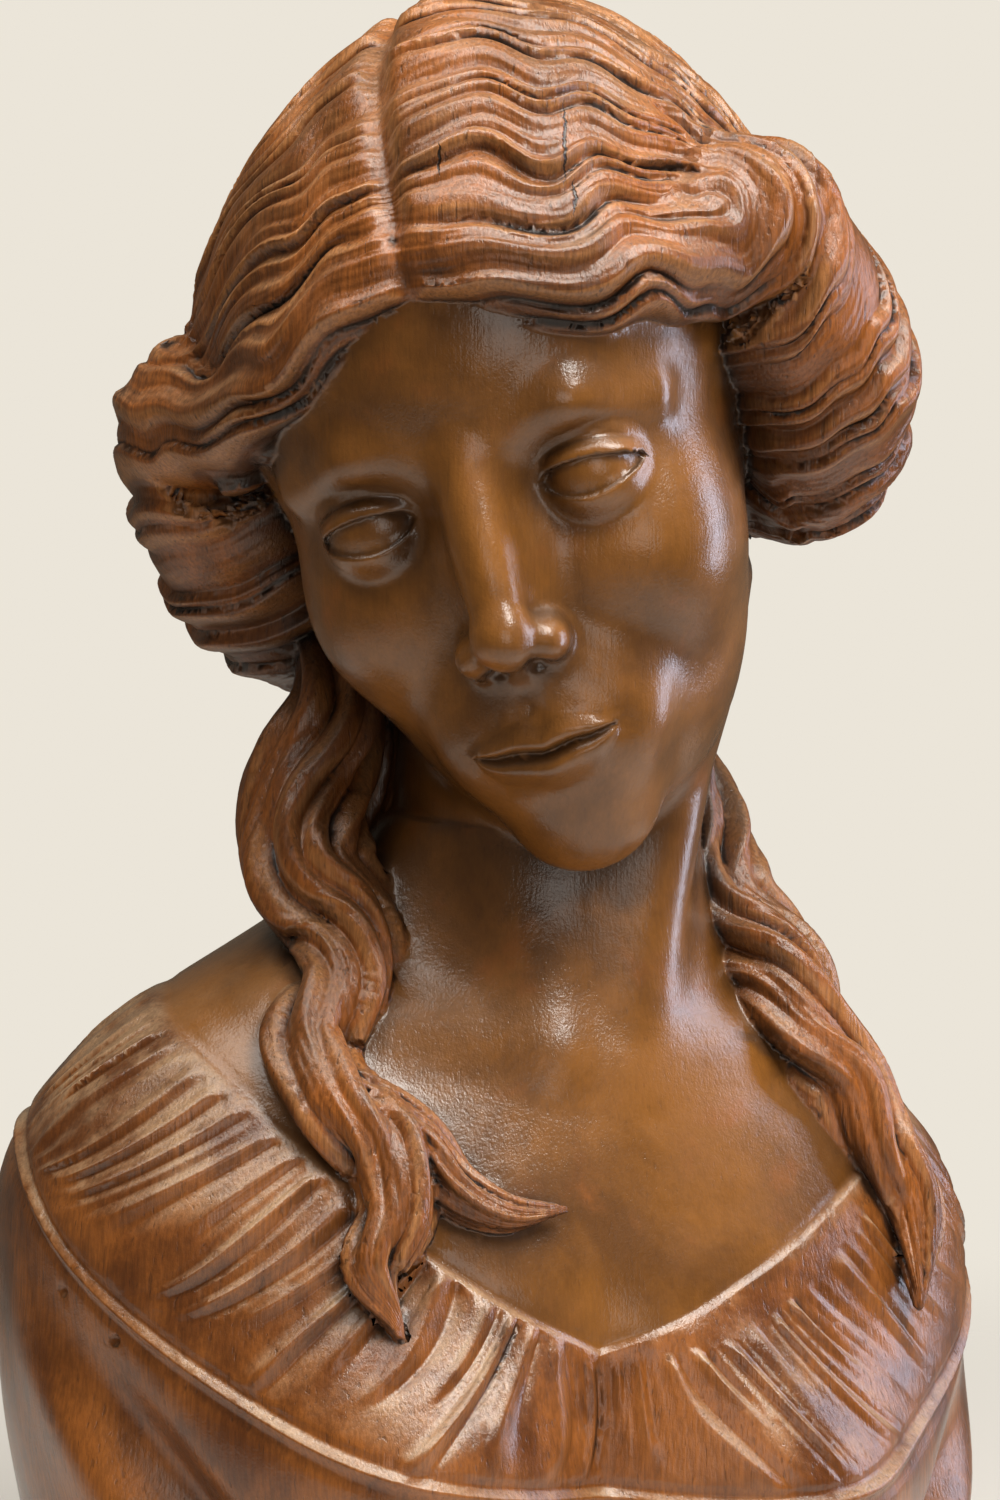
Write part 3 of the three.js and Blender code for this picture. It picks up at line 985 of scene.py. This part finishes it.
def add_number(mesh, name, values):
    layer = mesh.attributes.new(name, "FLOAT", "POINT")
    layer.data.foreach_set("value", values.astype(np.float32))


def record_surface(mesh):
    """Stores what the finish needs at each corner, and the true normals of the carved field."""
    points = points_of(mesh)
    outward = in_chunks(lambda p: slope_of(bust_field, p, 0.45), points)
    pairs = np.concatenate([points, outward], axis=1)
    hair = in_chunks(lambda p: skin_field(p, True) - hair_field(p, True), points)
    angle, height, _ = on_torso(points)
    add_number(mesh, "hair", smoothstep(-0.8, 0.8, hair))
    add_number(mesh, "cloth", smoothstep(-1, 1, neckline_height(angle) - height))
    for name, reach in HOLLOW_REACHES.items():
        depth = in_chunks(lambda pair: hollow_depth(pair[:, :3], pair[:, 3:], reach), pairs)
        add_number(mesh, name, depth)
    add_number(mesh, "strand", in_chunks(strand_phase, points))
    mesh.polygons.foreach_set("use_smooth", np.ones(len(mesh.polygons), bool))
    mesh.normals_split_custom_set_from_vertices(outward.astype(np.float32).tolist())
    mesh.vertices.foreach_set("co", (points * MM).astype(np.float32).ravel())
    mesh.update()


# ---- Shader node groups ---------------------------------------------------------------------


def new_group(name, vectors, numbers=()):
    """An empty node group with named inputs, and its input sockets."""
    group = bpy.data.node_groups.new(name, "ShaderNodeTree")
    for label in vectors:
        group.interface.new_socket(label, in_out="INPUT", socket_type="NodeSocketVector")
    for label in numbers:
        group.interface.new_socket(label, in_out="INPUT", socket_type="NodeSocketFloat")
    return group, group.nodes.new("NodeGroupInput").outputs


def give_out(group, results):
    """Adds a group's output sockets and links them, and returns the group."""
    for label in results:
        group.interface.new_socket(label, in_out="OUTPUT", socket_type="NodeSocketFloat")
    node(group, "NodeGroupOutput", results)
    return group


def node(tree, kind, links=None, **settings):
    """A new node with its settings, and its inputs set or linked by name or number."""
    made = tree.nodes.new(kind)
    for key, value in settings.items():
        setattr(made, key, value)
    for key, value in (links or {}).items():
        if isinstance(value, bpy.types.NodeSocket):
            tree.links.new(value, made.inputs[key])
        else:
            made.inputs[key].default_value = value
    return made


def arithmetic(tree, operation, *values):
    return node(tree, "ShaderNodeMath", dict(enumerate(values)), operation=operation).outputs[0]


def product(tree, first, second):
    return arithmetic(tree, "MULTIPLY", first, second)


def scaled_sum(tree, value, scale, more):
    return arithmetic(tree, "MULTIPLY_ADD", value, scale, more)


def vector_math(tree, operation, output, *values):
    made = node(tree, "ShaderNodeVectorMath", dict(enumerate(values)), operation=operation)
    return made.outputs[output]


def noise(tree, place, scale, detail=4.0, roughness=0.55, distortion=0.0):
    links = {
        "Vector": place,
        "Scale": scale,
        "Detail": detail,
        "Roughness": roughness,
        "Distortion": distortion,
    }
    return node(tree, "ShaderNodeTexNoise", links).outputs["Fac"]


def remap(tree, value, low, high, to_low=0.0, to_high=1.0):
    links = {"Value": value, "From Min": low, "From Max": high, "To Min": to_low, "To Max": to_high}
    return node(tree, "ShaderNodeMapRange", links, interpolation_type="SMOOTHSTEP").outputs[0]


def blend(tree, share, first, second, mode="MIX"):
    """Colours mixed by a share."""
    links = {0: share, 6: first, 7: second}
    made = node(tree, "ShaderNodeMix", links, data_type="RGBA", blend_type=mode)
    return made.outputs[2]


def stretched(tree, place, scale):
    links = {"Vector": place, "Scale": scale}
    return node(tree, "ShaderNodeMapping", links).outputs[0]


def timber_grain_group():
    """Upright grain: fine fibres, dark pores drawn out along the trunk, and slow colour bands."""
    group, given = new_group("Timber grain", ["Place"])
    place = given["Place"]
    pores = noise(group, stretched(group, place, (620, 620, 70)), 1.0, 2.0, 0.5)
    results = {
        "Fibre": noise(group, stretched(group, place, (900, 900, 55)), 1.0, 5.0, 0.6),
        "Pores": remap(group, pores, 0.63, 0.72),
        "Bands": noise(group, stretched(group, place, (26, 26, 5)), 1.0, 4.0, 0.6, 0.6),
    }
    return give_out(group, results)


def wear_group():
    """Dirt in the hollows and worn stain on the ridges, both broken up by noise, and painted shade
    where the surface is shut in.
    """
    group, given = new_group("Hollows, wear and painted shade", ["Place"], ["Groove", "Hollow"])
    offset = scaled_sum(group, noise(group, given["Place"], 90.0, 5.0, 0.65), 0.5, -0.25)
    groove = arithmetic(group, "ADD", given["Groove"], offset)
    open_place = arithmetic(group, "SUBTRACT", offset, given["Groove"])
    results = {
        "Dirt": remap(group, groove, 0.06, 0.62),
        "Wear": remap(group, open_place, 0.05, 0.5),
        "Shade": remap(group, given["Hollow"], 0.0, 0.9),
    }
    return give_out(group, results)


CRACK_WAVER = 0.005
CRACK_WIDTHS = (0.0008, 0.0001)  # in the middle and at the ends, in metres


def drying_crack_group():
    """A dark upright crack that wavers and closes towards its ends."""
    group, given = new_group("Drying crack", ["Place", "Centre", "Across"], ["Reach"])
    offset = vector_math(group, "SUBTRACT", 0, given["Place"], given["Centre"])
    away = vector_math(group, "LENGTH", "Value", offset)
    aside = vector_math(group, "DOT_PRODUCT", "Value", offset, given["Across"])
    waver = noise(group, stretched(group, given["Place"], (0, 0, 160)), 1.0, 3.0, 0.7)
    waver = scaled_sum(group, waver, CRACK_WAVER, -CRACK_WAVER / 2)
    aside = arithmetic(group, "ADD", aside, waver)
    share = arithmetic(group, "DIVIDE", away, given["Reach"])
    width = remap(group, share, 0.2, 1.0, *CRACK_WIDTHS)
    line = arithmetic(group, "DIVIDE", arithmetic(group, "ABSOLUTE", aside), width)
    inside = remap(group, share, 0.9, 1, 1, 0)
    return give_out(group, {"Crack": product(group, remap(group, line, 0.3, 1, 1, 0), inside)})


def placed(tree, group, **links):
    return node(tree, "ShaderNodeGroup", links, node_tree=group).outputs


# ---- The finish -----------------------------------------------------------------------------


def number(tree, name):
    return node(tree, "ShaderNodeAttribute", attribute_name=name).outputs["Fac"]


CRACK_ACROSS = (0.94, -0.34, 0.0)

# Centre and reach of each crack in the hair, in millimetres.
CRACKS = (((-27, -125, 542), 17), ((-27, -133, 523), 7), ((-66, -118, 535), 6))


def cracks(tree, place):
    """All the drying cracks in the hair."""
    group = drying_crack_group()
    total = 0.0
    for centre, reach in CRACKS:
        links = {"Centre": Vector(centre) * MM, "Across": CRACK_ACROSS, "Reach": reach * MM}
        made = placed(tree, group, Place=place, **links)
        total = arithmetic(tree, "MAXIMUM", made["Crack"], total)
    return total


def stain_colour(tree, stains, hair, cloth, mottle, patches, bands):
    """The stain before wear: brown skin, redder dress and hair."""
    skin = blend(tree, remap(tree, mottle, 0.36, 0.66), stains["skin_dark"], stains["skin"])
    skin = blend(tree, remap(tree, patches, 0.55, 0.85), skin, stains["skin_red"])
    uneven = scaled_sum(tree, bands, 0.45, product(tree, patches, 0.55))
    dress = blend(tree, remap(tree, uneven, 0.38, 0.6), stains["dress_dark"], stains["dress"])
    locks = blend(tree, remap(tree, bands, 0.34, 0.66), stains["hair_dark"], stains["hair"])
    return blend(tree, hair, blend(tree, cloth, skin, dress), locks)


def dust_share(tree, hair, carved, patches):
    """Dust on surfaces that face up, thickest on the dress; it also paints the light from above
    onto those surfaces.
    """
    facing = node(tree, "ShaderNodeNewGeometry").outputs["Normal"]
    upward = node(tree, "ShaderNodeSeparateXYZ", {0: facing}).outputs["Z"]
    dusty = product(tree, remap(tree, upward, 0.3, 0.8), remap(tree, patches, 0.3, 0.65))
    dusty = product(tree, dusty, remap(tree, carved, 0, 0.6, 0.2, 1.0))
    return product(tree, dusty, remap(tree, hair, 0, 1, 1.0, 0.35))


def bumped(tree, height, strength, distance, **links):
    links = {"Height": height, "Strength": strength, "Distance": distance, **links}
    return node(tree, "ShaderNodeBump", links).outputs[0]


def stained_wood(colours):
    """Old stained and varnished timber: darker in the grooves, redder in the hair and the dress,
    with painted shade in hollows and under overhangs, and a pale tone on surfaces that face up that
    is partly painted top light.
    """
    stains = {name: (*getattr(colours, name), 1) for name in colours.__annotations__}
    dirt = stains["dirt"]
    material = bpy.data.materials.new("stained_wood")
    material.use_nodes = True
    tree = material.node_tree
    tree.nodes.clear()
    place = node(tree, "ShaderNodeTexCoord").outputs["Object"]
    stored = {name: number(tree, name) for name in SURFACE_NUMBERS}
    hair = stored["hair"]
    grain = placed(tree, timber_grain_group(), Place=place)
    hollows = {"Groove": stored["groove"], "Hollow": stored["hollow"]}
    worn = placed(tree, wear_group(), Place=place, **hollows)
    mottle = noise(tree, place, 14.0, 6.0, 0.62, 0.3)
    patches = noise(tree, place, 42.0, 5.0, 0.6, 0.2)
    carved = arithmetic(tree, "MAXIMUM", hair, product(tree, stored["cloth"], 0.6))

    colour = stain_colour(tree, stains, hair, stored["cloth"], mottle, patches, grain["Bands"])
    lighter = product(tree, worn["Wear"], remap(tree, hair, 0, 1, 0.09, 0.42))
    colour = blend(tree, lighter, colour, stains["worn"])
    # A pale colour on surfaces that face up: partly dust, partly painted top light.
    colour = blend(tree, dust_share(tree, hair, carved, patches), colour, stains["dust"])
    streak = remap(tree, grain["Fibre"], 0.35, 0.65, 0.68, 1.16)
    tint = node(tree, "ShaderNodeCombineXYZ", {0: streak, 1: streak, 2: streak}).outputs[0]
    colour = blend(tree, remap(tree, carved, 0, 1, 0.2, 0.9), colour, tint, "MULTIPLY")
    specks = product(tree, grain["Pores"], remap(tree, carved, 0, 1, 0.12, 0.5))
    split = cracks(tree, place)
    # Each share darkens the colour towards the dark groove colour: pores, painted shade in hollows,
    # painted shade under overhangs, grime in the grooves, and the cracks.
    for share in (
        specks,
        # Painted shade in hollows.
        product(tree, worn["Shade"], 0.45),
        # Painted shade under overhangs such as the chin, the rolls and the tresses.
        remap(tree, stored["painted_shelter_shade"], 0.15, 0.85, 0, 0.6),
        product(tree, worn["Dirt"], remap(tree, carved, 0, 1, 0.4, 0.94)),
        split,
    ):
        colour = blend(tree, share, colour, dirt)

    lines = arithmetic(tree, "SINE", product(tree, stored["strand"], 2.6))
    lines = product(tree, lines, product(tree, hair, mottle))
    relief = product(tree, grain["Fibre"], remap(tree, carved, 0, 1, 0.4, 1.2))
    tooth = noise(tree, place, 1100.0, 2.0, 0.6)
    for height, scale in ((lines, 0.45), (specks, -0.8), (split, -1.5), (tooth, 0.4)):
        relief = scaled_sum(tree, height, scale, relief)
    soft = scaled_sum(tree, noise(tree, place, 380.0, 3.0, 0.6), 0.18, patches)
    coarse = bumped(tree, soft, 0.3, 0.0012)
    fine = bumped(tree, relief, 0.6, 0.0004, Normal=coarse)
    gloss = remap(tree, patches, 0.3, 0.7, 0.34, 0.5)
    finish = {
        "Base Color": colour,
        "Roughness": scaled_sum(tree, worn["Dirt"], 0.3, gloss),
        "Normal": fine,
        "Coat Normal": fine,
        "IOR": 1.5,
        "Specular IOR Level": 0.25,
        "Coat Weight": remap(tree, hair, 0, 1, 0.95, 0.7),
        "Coat Roughness": remap(tree, mottle, 0.3, 0.7, 0.12, 0.22),
        "Coat IOR": 1.5,
    }
    shader = node(tree, "ShaderNodeBsdfPrincipled", finish)
    node(tree, "ShaderNodeOutputMaterial", {"Surface": shader.outputs[0]})
    return material


# ---- Stage ----------------------------------------------------------------------------------

CAMERA_AZIMUTH = math.radians(-20)
CAMERA_ELEVATION = math.radians(3)
CAMERA_DISTANCE = 1395.8 * MM
CAMERA_AIM = Vector((-15.4, -34.1, 346.6)) * MM
CAMERA_LENS = 100.0
FILM_WIDTH = 36.0
FARTHEST_SEEN = 20.0


def outward_from(azimuth, elevation):
    level = math.cos(elevation)
    return Vector((math.sin(azimuth) * level, -math.cos(azimuth) * level, math.sin(elevation)))


def add_camera():
    data = bpy.data.cameras.new("camera")
    data.lens = CAMERA_LENS
    data.sensor_width = FILM_WIDTH
    data.clip_end = FARTHEST_SEEN
    camera = bpy.data.objects.new("camera", data)
    direction = outward_from(CAMERA_AZIMUTH, CAMERA_ELEVATION)
    camera.location = CAMERA_AIM + direction * CAMERA_DISTANCE
    camera.rotation_euler = direction.to_track_quat("Z", "Y").to_euler()
    bpy.context.scene.collection.objects.link(camera)
    bpy.context.scene.camera = camera


WARM = (1.0, 0.96, 0.9)
COOL = (0.72, 0.8, 1.0)
LIT_POINT = Vector((0, 0, 400 * MM))

# Azimuth and elevation in degrees, distance and size in metres, share of the key's power, colour.
LIGHTS = {
    "key": (30, 60, 1.5, (0.7, 0.7), 1.0, WARM),
    "glint": (22, 42, 1.5, (0.32, 0.32), 0.3, WARM),
    "window": (84, 8, 1.5, (0.4, 1.2), 0.55, COOL),
    "top": (-62, 70, 1.4, (1.0, 1.0), 0.65, WARM),
    "front": (-4, 4, 2.2, (1.0, 1.0), 0.28, WARM),
}


def add_light(name, key_power):
    azimuth, elevation, distance, size, share, colour = LIGHTS[name]
    data = bpy.data.lights.new(name, "AREA")
    data.shape = "RECTANGLE"
    data.size, data.size_y = size
    data.energy = key_power * share
    data.color = colour
    light = bpy.data.objects.new(name, data)
    direction = outward_from(math.radians(azimuth), math.radians(elevation))
    light.location = LIT_POINT + direction * distance
    light.rotation_euler = direction.to_track_quat("Z", "Y").to_euler()
    bpy.context.scene.collection.objects.link(light)


FLOOR_RADIUS = 1.1
FLOOR_SOLID_RADIUS = 0.32
FLOOR_SIDES = 96


def add_floor(colour):
    """A round pale floor that fades into the backdrop."""
    turns = [2 * math.pi * n / FLOOR_SIDES for n in range(FLOOR_SIDES)]
    rim = [(FLOOR_RADIUS * math.cos(turn), FLOOR_RADIUS * math.sin(turn), 0) for turn in turns]
    mesh = bpy.data.meshes.new("floor")
    mesh.from_pydata(rim, [], [tuple(range(FLOOR_SIDES))])
    floor = bpy.data.objects.new("floor", mesh)
    bpy.context.scene.collection.objects.link(floor)
    material = bpy.data.materials.new("pale_floor")
    material.use_nodes = True
    tree = material.node_tree
    shader = tree.nodes["Principled BSDF"]
    shader.inputs["Base Color"].default_value = (*colour, 1)
    shader.inputs["Roughness"].default_value = 0.8
    place = node(tree, "ShaderNodeTexCoord").outputs["Object"]
    away = vector_math(tree, "LENGTH", "Value", place)
    shown = remap(tree, away, FLOOR_SOLID_RADIUS, FLOOR_RADIUS * 0.95, 1.0, 0.0)
    tree.links.new(shown, shader.inputs["Alpha"])
    mesh.materials.append(material)


ROOM_COLOUR = (0.84, 0.72, 0.56)


def add_world(colour, strength, light):
    """A plain backdrop, with a dimmer room for the light that it sheds."""
    world = bpy.data.worlds.new("studio")
    world.use_nodes = True
    tree = world.node_tree
    backdrop = tree.nodes["Background"]
    backdrop.inputs["Color"].default_value = (*colour, 1)
    backdrop.inputs["Strength"].default_value = strength
    room = node(tree, "ShaderNodeBackground", {"Color": (*ROOM_COLOUR, 1), "Strength": light})
    seen = node(tree, "ShaderNodeLightPath").outputs["Is Camera Ray"]
    links = {0: seen, 1: room.outputs[0], 2: backdrop.outputs[0]}
    mixed = node(tree, "ShaderNodeMixShader", links)
    tree.links.new(mixed.outputs[0], tree.nodes["World Output"].inputs["Surface"])
    bpy.context.scene.world = world


# ---- Settings a user would change -----------------------------------------------------------


def colour_property(name, description, default):
    words = {"name": name, "description": description, "default": default}
    return bpy.props.FloatVectorProperty(**words, subtype="COLOR", size=3, min=0, max=1)


def strength_property(name, description, default):
    return bpy.props.FloatProperty(name=name, description=description, default=default, min=0)


class FigureheadCarving(bpy.types.PropertyGroup):
    """How finely the bust is carved."""

    voxel: bpy.props.FloatProperty(
        name="Voxel",
        description="Size of the first blocks that the bust is cut from, in millimetres",
        default=2.0,
        min=1.5,
        max=6,
    )
    face_budget: bpy.props.IntProperty(
        name="Triangles",
        description="Triangles in the finished bust",
        default=196000,
        min=20000,
        max=199000,
    )


class FigureheadFinish(bpy.types.PropertyGroup):
    """Stain and wear, with the colours that also paint shade and top light."""

    skin: colour_property("Skin", "Stain on the face, neck and chest", (0.32, 0.122, 0.020))
    skin_dark: colour_property("Dark skin", "Darker patches of the skin", (0.15, 0.055, 0.009))
    skin_red: colour_property("Red skin", "Redder patches of the skin", (0.32, 0.100, 0.015))
    hair: colour_property("Hair", "Stain on the hair", (0.38, 0.118, 0.022))
    hair_dark: colour_property("Dark hair", "Darker bands of the hair", (0.17, 0.054, 0.012))
    dress: colour_property("Dress", "Stain on the bodice", (0.34, 0.108, 0.018))
    dress_dark: colour_property("Dark dress", "Darker patches of the bodice", (0.14, 0.040, 0.007))
    worn: colour_property("Worn wood", "Wood where the stain has worn", (0.60, 0.28, 0.10))
    # Partly painted top light: this pale colour on surfaces that face up also stands for light from
    # above.
    dust: colour_property("Dust", "Pale dust on surfaces that face up", (0.48, 0.30, 0.165))
    # This near-black colour is both the grime in the grooves and the painted shade in hollows and
    # under overhangs.
    dirt: colour_property("Grooves", "Old stain and dirt in the grooves", (0.014, 0.006, 0.003))


class FigureheadStage(bpy.types.PropertyGroup):
    """Floor, backdrop and lights."""

    backdrop: colour_property("Backdrop", "Colour of the backdrop", (0.84, 0.79, 0.70))
    backdrop_strength: strength_property("Backdrop strength", "Brightness of the backdrop", 0.99)
    room_strength: strength_property("Room strength", "Brightness of the room's own light", 0.13)
    floor: colour_property("Floor", "Colour of the floor", (0.75, 0.72, 0.66))
    key_power: strength_property("Key light", "Power of the main light, in watts", 21)


# ---- Operators ------------------------------------------------------------------------------


class FIGUREHEAD_OT_bust(bpy.types.Operator):
    """Carve the wooden bust and give it its finish"""

    bl_idname = "figurehead.bust"
    bl_label = "Carve bust"
    bl_options = {"REGISTER", "UNDO"}

    def execute(self, context):
        carving = context.scene.figurehead_carving
        voxel = carving.voxel
        mesh = carve_bust(voxel, carving.face_budget)
        record_surface(mesh)
        mesh.name = "carved_bust"
        mesh.materials.append(stained_wood(context.scene.figurehead_finish))
        bust = bpy.data.objects.new("carved_bust", mesh)
        context.scene.collection.objects.link(bust)
        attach(bust, "root")
        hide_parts(CAD_NODE)
        return {"FINISHED"}


class FIGUREHEAD_OT_stage(bpy.types.Operator):
    """Set the floor, the backdrop, the lights and the camera"""

    bl_idname = "figurehead.stage"
    bl_label = "Set stage"
    bl_options = {"REGISTER", "UNDO"}

    def execute(self, context):
        stage = context.scene.figurehead_stage
        add_world(stage.backdrop, stage.backdrop_strength, stage.room_strength)
        add_floor(stage.floor)
        add_camera()
        for name in LIGHTS:
            add_light(name, stage.key_power)
        context.scene.view_settings.view_transform = "Standard"
        return {"FINISHED"}


class FIGUREHEAD_PT_panel(bpy.types.Panel):
    """Lists the steps that build the figurehead"""

    bl_label = "Figurehead"
    bl_idname = "FIGUREHEAD_PT_panel"
    bl_space_type = "VIEW_3D"
    bl_region_type = "UI"
    bl_category = "Figurehead"

    def draw(self, context):
        scene = context.scene
        for settings in (scene.figurehead_carving, scene.figurehead_finish, scene.figurehead_stage):
            box = self.layout.box()
            for name in settings.__annotations__:
                box.prop(settings, name)
        for step in STEPS:
            self.layout.operator(step.bl_idname)


STEPS = (FIGUREHEAD_OT_bust, FIGUREHEAD_OT_stage)
CLASSES = (FigureheadCarving, FigureheadFinish, FigureheadStage, *STEPS, FIGUREHEAD_PT_panel)


def register():
    for made in CLASSES:
        bpy.utils.register_class(made)
    scene = bpy.types.Scene
    scene.figurehead_carving = bpy.props.PointerProperty(type=FigureheadCarving)
    scene.figurehead_finish = bpy.props.PointerProperty(type=FigureheadFinish)
    scene.figurehead_stage = bpy.props.PointerProperty(type=FigureheadStage)


def unregister():
    scene = bpy.types.Scene
    del scene.figurehead_carving, scene.figurehead_finish, scene.figurehead_stage
    for made in reversed(CLASSES):
        bpy.utils.unregister_class(made)


def main():
    register()
    bpy.ops.figurehead.bust()
    bpy.ops.figurehead.stage()


if __name__ == "__main__":
    main()
